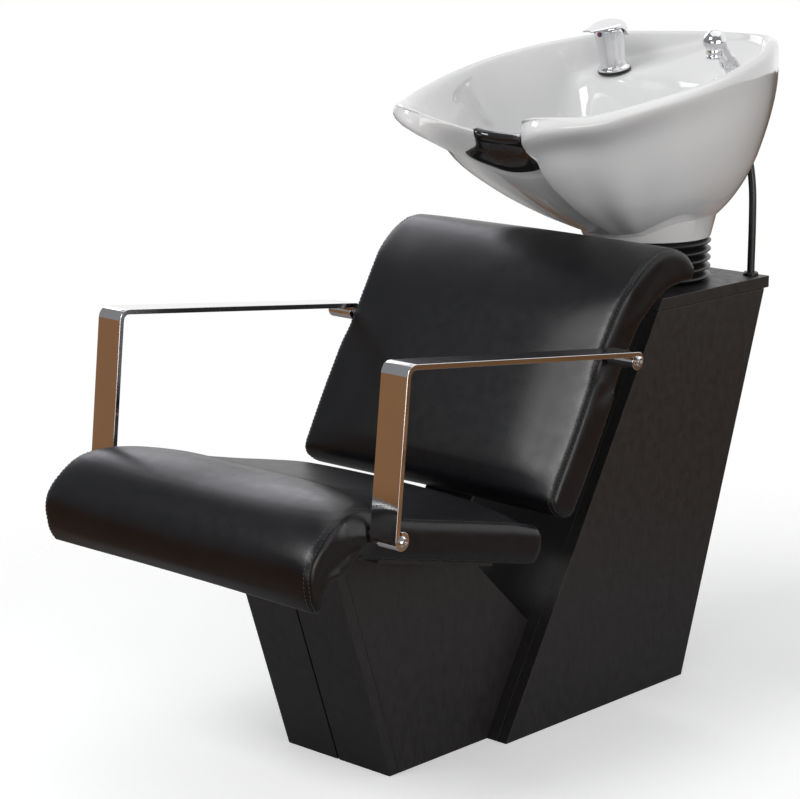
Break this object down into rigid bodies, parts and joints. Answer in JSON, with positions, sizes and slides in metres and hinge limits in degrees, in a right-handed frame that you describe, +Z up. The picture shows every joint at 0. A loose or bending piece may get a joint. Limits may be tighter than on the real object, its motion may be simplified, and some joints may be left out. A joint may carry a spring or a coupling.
{
  "type": "shampoo backwash unit",
  "caption": "Salon shampoo chair with a tilting ceramic bowl on a leaning cabinet, padded seat and back, flat-bar armrests, mixer tap and pull-out hand spray.",
  "frame": {"origin": "on the floor, in the middle of the cabinet's floor panel", "axes": "+Z up, +Y from the sitter's knees to the bowl, +X to the sitter's left"},
  "size_m": [0.5874, 1.2622, 0.9873],
  "materials": {
    "laminate": "black laminate, satin",
    "upholstery": "black vinyl, soft sheen",
    "sub_board": "black stained plywood",
    "black_steel": "black powder coat",
    "braid": "dark braided sleeve",
    "chrome": "polished",
    "ceramic": "white glaze",
    "rubber": "black, soft gloss",
    "waste_plastic": "grey-white",
    "index": "two-colour enamel"
  },
  "bodies": {
    "base": {"cabinet_side_left": "laminate", "cabinet_side_right": "laminate", "cabinet_front": "laminate", "cabinet_rear": "laminate", "cabinet_top": "laminate", "cabinet_floor": "laminate", "pedestal_side_left": "laminate", "pedestal_side_right": "laminate", "pedestal_front_left": "laminate", "pedestal_front_right": "laminate", "pedestal_top": "laminate", "pedestal_rear_lower": "laminate", "pedestal_rear_upper": "laminate", "seat_cushion": "upholstery", "back_cushion": "upholstery", "seat_board": "sub_board", "back_board": "sub_board", "back_strap": "black_steel", "armrest_left": "chrome", "armrest_right": "chrome", "arm_bolt_seat_left": "chrome", "arm_bolt_seat_right": "chrome", "arm_bolt_back_left": "chrome", "arm_bolt_back_right": "chrome", "tilt_yoke": "black_steel", "tilt_pin_left": "black_steel", "tilt_pin_right": "black_steel", "bellows": "rubber", "hose_grommet": "rubber", "spray_hose": "rubber", "supply_hose_hot": "braid", "supply_hose_cold": "braid", "waste_hose": "waste_plastic"},
    "bowl_group": {"bowl": "ceramic", "neck_rest": "rubber", "waste_strainer": "chrome", "waste_nut": "waste_plastic", "tilt_saddle": "black_steel", "tap_gasket": "rubber", "tap_body": "chrome", "tap_nut": "black_steel", "tap_index": "index", "spray_holder": "chrome", "spray_nut": "black_steel"},
    "tap_swivel": {"tap_cartridge": "chrome"},
    "tap_handle": {"tap_lever": "chrome"},
    "spray": {"hand_spray": "chrome", "spray_nozzle": "chrome"}
  },
  "joints": [
    {"name": "bowl_tilt", "type": "hinge", "parent": "base", "child": "bowl_group", "pos_m": [0, 0.27111, 0.64], "axis": [1, 0, 0], "range_deg": [-15, 0], "deforming": ["bellows", "spray_hose", "supply_hose_hot", "supply_hose_cold", "waste_hose"]},
    {"name": "tap_swivel", "type": "hinge", "parent": "bowl_group", "child": "tap_swivel", "pos_m": [-0.1145, 0.31396, 0.97479], "axis": [0, -0.2419, 0.9703], "range_deg": [-45, 45]},
    {"name": "tap_lift", "type": "hinge", "parent": "tap_swivel", "child": "tap_handle", "pos_m": [-0.1145, 0.34512, 0.96144], "axis": [-1, 0, 0], "range_deg": [0, 25]},
    {"name": "spray_pull", "type": "slide", "parent": "bowl_group", "child": "spray", "axis": [0, -0.7431, 0.6691], "range_m": [0, 0.08]}
  ]
}
